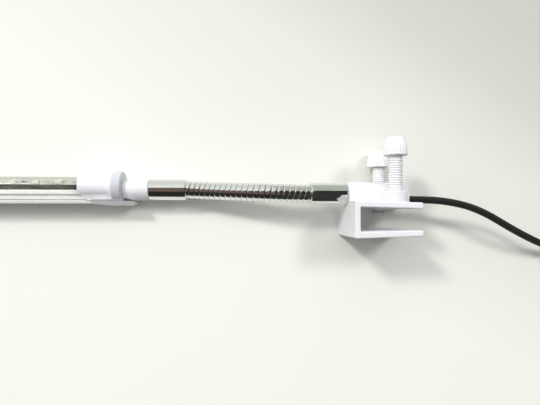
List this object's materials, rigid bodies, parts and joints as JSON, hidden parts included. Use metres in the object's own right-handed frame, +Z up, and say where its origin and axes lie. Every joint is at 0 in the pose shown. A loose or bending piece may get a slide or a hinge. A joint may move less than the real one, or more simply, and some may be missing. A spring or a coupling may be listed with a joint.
{
  "type": "clip-on reading lamp",
  "caption": "Clip-on lamp: clear LED light bar on a short chrome gooseneck, with a C-clamp tightened by thumbscrews and a thin low-voltage lead ending in a plug.",
  "frame": {"origin": "middle of the lamp's outline on the surface it lies on, measured without the lead, its coil and its plug", "axes": "+X from the light bar along the gooseneck to the clamp's mouth, +Y the way the thumbscrews stand, +Z up from the surface the lamp lies on"},
  "size_m": [0.494, 0.0567, 0.0285],
  "materials": {
    "white_plastic": "glossy injection-moulded ABS, cool white",
    "collar_plastic": "satin, slightly lavender white",
    "screw_plastic": "moulded nylon, satin white",
    "chrome": "mirror chrome plate",
    "link_steel": "plain turned steel",
    "clear_acrylic": "clear polished acrylic",
    "rail_white": "extruded opal white acrylic",
    "board": "olive-white circuit board",
    "led": "white package with pale phosphor",
    "resistor": "black chip",
    "spreader": "black anodised",
    "seal_rubber": "black",
    "wire_red": "PVC insulation",
    "wire_black": "PVC insulation",
    "cord_black": "black PVC jacket, satin",
    "plug_black": "black moulded PVC",
    "plug_steel": "nickel-plated steel",
    "plug_tongue": "white insulator",
    "contact_gold": "gold-plated contact"
  },
  "bodies": {
    "clamp": {"clamp_frame": "white_plastic", "clamp_ferrule": "chrome", "clamp_stub": "link_steel", "cord_crimp": "plug_steel", "cord_grommet": "white_plastic", "cord_lead": "cord_black", "cord_tail": "cord_black", "cord_coil": "cord_black", "plug_grip": "plug_black", "plug_shell": "plug_steel", "plug_tongue": "plug_tongue", "plug_contacts": "contact_gold"},
    "link_01": {"gooseneck_link_01": "link_steel"},
    "link_02": {"gooseneck_link_02": "link_steel"},
    "link_03": {"gooseneck_link_03": "link_steel"},
    "link_04": {"gooseneck_link_04": "link_steel"},
    "link_05": {"gooseneck_link_05": "link_steel"},
    "link_06": {"gooseneck_link_06": "link_steel"},
    "link_07": {"gooseneck_link_07": "link_steel"},
    "link_08": {"gooseneck_link_08": "link_steel"},
    "link_09": {"gooseneck_link_09": "link_steel"},
    "neck": {"head_stub": "link_steel", "head_ferrule": "chrome", "swivel_neck": "white_plastic", "swivel_retainer": "link_steel"},
    "head": {"head_collar": "collar_plastic", "swivel_ring": "seal_rubber", "cap_shell": "white_plastic", "head_base": "white_plastic", "light_bar": "clear_acrylic", "bar_rail": "rail_white", "heat_spreader": "spreader", "led_board": "board", "led_chips": "led", "led_resistors": "resistor", "lead_positive": "wire_red", "lead_negative": "wire_black", "far_cap": "white_plastic"},
    "front_foot": {"foot_front": "screw_plastic"},
    "front_screw": {"screw_front": "screw_plastic", "knob_front": "screw_plastic"},
    "rear_foot": {"foot_rear": "screw_plastic"},
    "rear_screw": {"screw_rear": "screw_plastic", "knob_rear": "screw_plastic"}
  },
  "joints": [
    {"name": "gooseneck_01_pan", "type": "hinge", "parent": "clamp", "child": "link_01", "pos_m": [0.11818, -0.00215, 0.01425], "axis": [0, 0, 1], "range_deg": [-15, 15]},
    {"name": "gooseneck_02_tilt", "type": "hinge", "parent": "link_01", "child": "link_02", "pos_m": [0.11285, -0.00209, 0.01483], "axis": [0, 1, 0], "range_deg": [-15, 15]},
    {"name": "gooseneck_03_pan", "type": "hinge", "parent": "link_02", "child": "link_03", "pos_m": [0.10751, -0.00198, 0.01505], "axis": [0, 0, 1], "range_deg": [-15, 15]},
    {"name": "gooseneck_04_tilt", "type": "hinge", "parent": "link_03", "child": "link_04", "pos_m": [0.10218, -0.00182, 0.01465], "axis": [0, 1, 0], "range_deg": [-15, 15]},
    {"name": "gooseneck_05_pan", "type": "hinge", "parent": "link_04", "child": "link_05", "pos_m": [0.09684, -0.00163, 0.01357], "axis": [0, 0, 1], "range_deg": [-15, 15]},
    {"name": "gooseneck_06_tilt", "type": "hinge", "parent": "link_05", "child": "link_06", "pos_m": [0.09151, -0.00142, 0.01198], "axis": [0, 1, 0], "range_deg": [-15, 15]},
    {"name": "gooseneck_07_pan", "type": "hinge", "parent": "link_06", "child": "link_07", "pos_m": [0.08617, -0.00118, 0.01019], "axis": [0, 0, 1], "range_deg": [-15, 15]},
    {"name": "gooseneck_08_tilt", "type": "hinge", "parent": "link_07", "child": "link_08", "pos_m": [0.08084, -0.00093, 0.00854], "axis": [0, 1, 0], "range_deg": [-15, 15]},
    {"name": "gooseneck_09_pan", "type": "hinge", "parent": "link_08", "child": "link_09", "pos_m": [0.0755, -0.00067, 0.00734], "axis": [0, 0, 1], "range_deg": [-15, 15]},
    {"name": "gooseneck_10_tilt", "type": "hinge", "parent": "link_09", "child": "neck", "pos_m": [0.07017, -0.0003, 0.0067], "axis": [0, 1, 0], "range_deg": [-15, 15]},
    {"name": "head_swivel", "type": "hinge", "parent": "neck", "child": "head", "pos_m": [0.0316, -0.0003, 0.0067], "axis": [1, 0, 0], "range_deg": [-150, 150]},
    {"name": "front_foot_travel", "type": "slide", "parent": "clamp", "child": "front_foot", "axis": [0, -1, 0], "range_m": [-0.003, 0.0096]},
    {"name": "front_screw_turn", "type": "hinge", "parent": "front_foot", "child": "front_screw", "pos_m": [0.1551, 0.01335, 0.0235], "axis": [0, -1, 0], "range_deg": [-1100, 3480]},
    {"name": "rear_foot_travel", "type": "slide", "parent": "clamp", "child": "rear_foot", "axis": [0, -1, 0], "range_m": [-0.006, 0.0068]},
    {"name": "rear_screw_turn", "type": "hinge", "parent": "rear_foot", "child": "rear_screw", "pos_m": [0.1543, 0.0104, 0.005], "axis": [0, -1, 0], "range_deg": [-2180, 2470]}
  ],
  "couplings": [
    {"joint": "front_screw_turn", "follows": "front_foot_travel", "rad_per_m": 6283.2},
    {"joint": "rear_screw_turn", "follows": "rear_foot_travel", "rad_per_m": 6283.2}
  ]
}
